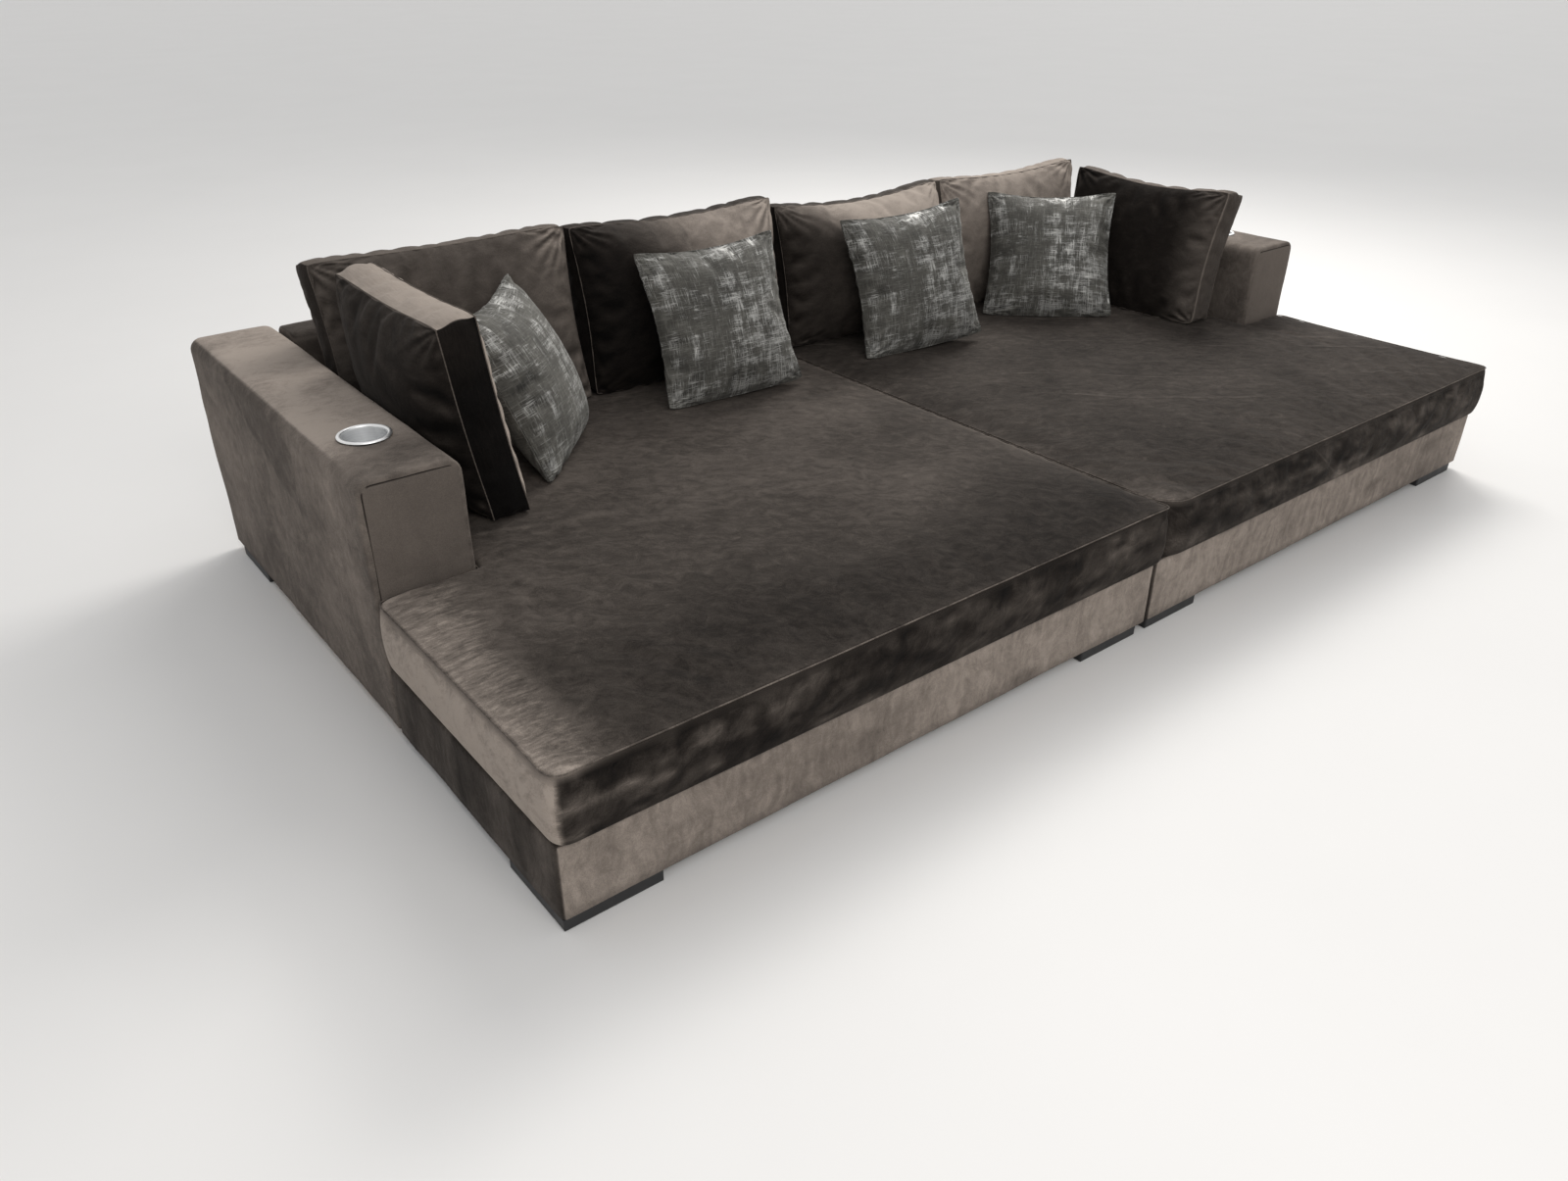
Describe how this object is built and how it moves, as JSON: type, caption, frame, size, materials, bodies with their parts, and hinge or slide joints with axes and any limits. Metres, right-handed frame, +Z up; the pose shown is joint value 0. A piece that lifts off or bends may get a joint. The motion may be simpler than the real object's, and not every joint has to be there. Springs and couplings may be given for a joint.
{
  "type": "cinema sofa",
  "caption": "Extra-deep modular lounge sofa with a low base, boxed seat cushions, loose back and side cushions, throw pillows and a cup holder in each arm.",
  "frame": {"origin": "floor level, under the middle of the sofa's bounding box", "axes": "+X along the sofa to the sitter's left (the viewer's right), +Z up, front towards -Y"},
  "size_m": [3.416, 1.947, 0.8684],
  "materials": {
    "timber": "raw planed softwood",
    "webbing": "woven elastic strap",
    "velvet": "dark taupe cut velvet",
    "dust_cloth": "black non-woven",
    "black_foot": "matt black",
    "steel": "zinc plated",
    "aluminium": "brushed",
    "foam": "open-cell foam",
    "foil_print": "velvet with a worn silver print"
  },
  "bodies": {
    "module_left": {"seat_frame_left": "timber", "arm_frame_left": "timber", "back_frame_left": "timber", "seat_webbing_left": "webbing", "base_cover_left": "velvet", "arm_cover_left": "velvet", "arm_front_panel_left": "velvet", "back_cover_left": "velvet", "dust_cover_left": "dust_cloth", "foot_front_outer_left": "black_foot", "foot_front_inner_left": "black_foot", "arm_bolt_front_left": "steel", "foot_rear_outer_left": "black_foot", "foot_rear_inner_left": "black_foot", "arm_bolt_rear_left": "steel", "back_bolt_outer_left": "steel", "back_bolt_inner_left": "steel"},
    "seat_left": {"seat_cushion_left": "velvet", "seat_core_left": "foam"},
    "cup_holder_left_body": {"cup_holder_left": "aluminium"},
    "back_cushion_inner_left_body": {"back_cushion_inner_left": "velvet"},
    "back_cushion_outer_left_body": {"back_cushion_outer_left": "velvet"},
    "side_cushion_left_body": {"side_cushion_left": "velvet"},
    "throw_pillow_corner_left_body": {"throw_pillow_corner_left": "foil_print"},
    "throw_pillow_middle_left_body": {"throw_pillow_middle_left": "foil_print"},
    "module_right": {"seat_frame_right": "timber", "arm_frame_right": "timber", "back_frame_right": "timber", "seat_webbing_right": "webbing", "base_cover_right": "velvet", "arm_cover_right": "velvet", "arm_front_panel_right": "velvet", "back_cover_right": "velvet", "dust_cover_right": "dust_cloth", "foot_front_outer_right": "black_foot", "foot_front_inner_right": "black_foot", "arm_bolt_front_right": "steel", "foot_rear_outer_right": "black_foot", "foot_rear_inner_right": "black_foot", "arm_bolt_rear_right": "steel", "back_bolt_outer_right": "steel", "back_bolt_inner_right": "steel"},
    "seat_right": {"seat_cushion_right": "velvet", "seat_core_right": "foam"},
    "cup_holder_right_body": {"cup_holder_right": "aluminium"},
    "back_cushion_inner_right_body": {"back_cushion_inner_right": "velvet"},
    "back_cushion_outer_right_body": {"back_cushion_outer_right": "velvet"},
    "side_cushion_right_body": {"side_cushion_right": "velvet"},
    "throw_pillow_corner_right_body": {"throw_pillow_corner_right": "foil_print"},
    "throw_pillow_middle_right_body": {"throw_pillow_middle_right": "foil_print"}
  },
  "joints": [
    {"name": "part_modules", "type": "slide", "parent": "module_left", "child": "module_right", "axis": [1, 0, 0], "range_m": [0, 0.6]},
    {"name": "lift_cup_left", "type": "slide", "parent": "module_left", "child": "cup_holder_left_body", "axis": [0, 0, 1], "range_m": [0, 0.09]},
    {"name": "lift_seat_left", "type": "slide", "parent": "module_left", "child": "seat_left", "axis": [0, 0, 1], "range_m": [0, 0.2]},
    {"name": "lift_back_inner_left", "type": "slide", "parent": "seat_left", "child": "back_cushion_inner_left_body", "axis": [0, 0, 1], "range_m": [0, 0.3]},
    {"name": "lift_back_outer_left", "type": "slide", "parent": "seat_left", "child": "back_cushion_outer_left_body", "axis": [0, 0, 1], "range_m": [0, 0.3]},
    {"name": "lift_side_left", "type": "slide", "parent": "back_cushion_outer_left_body", "child": "side_cushion_left_body", "axis": [0, -0.2079, 0.9781], "range_m": [0, 0.3]},
    {"name": "lift_pillow_corner_left", "type": "slide", "parent": "side_cushion_left_body", "child": "throw_pillow_corner_left_body", "axis": [0.1923, -0.1732, 0.9659], "range_m": [0, 0.25]},
    {"name": "lift_pillow_middle_left", "type": "slide", "parent": "back_cushion_inner_left_body", "child": "throw_pillow_middle_left_body", "axis": [-0.0315, -0.2569, 0.9659], "range_m": [0, 0.25]},
    {"name": "lift_cup_right", "type": "slide", "parent": "module_right", "child": "cup_holder_right_body", "axis": [0, 0, 1], "range_m": [0, 0.09]},
    {"name": "lift_seat_right", "type": "slide", "parent": "module_right", "child": "seat_right", "axis": [0, 0, 1], "range_m": [0, 0.2]},
    {"name": "lift_back_inner_right", "type": "slide", "parent": "seat_right", "child": "back_cushion_inner_right_body", "axis": [0, 0, 1], "range_m": [0, 0.3]},
    {"name": "lift_back_outer_right", "type": "slide", "parent": "seat_right", "child": "back_cushion_outer_right_body", "axis": [0, 0, 1], "range_m": [0, 0.3]},
    {"name": "lift_side_right", "type": "slide", "parent": "back_cushion_outer_right_body", "child": "side_cushion_right_body", "axis": [0, 0, 1], "range_m": [0, 0.3]},
    {"name": "lift_pillow_corner_right", "type": "slide", "parent": "side_cushion_right_body", "child": "throw_pillow_corner_right_body", "axis": [-0.183, -0.183, 0.9659], "range_m": [0, 0.25]},
    {"name": "lift_pillow_middle_right", "type": "slide", "parent": "back_cushion_inner_right_body", "child": "throw_pillow_middle_right_body", "axis": [-0.0538, -0.2532, 0.9659], "range_m": [0, 0.25]}
  ]
}
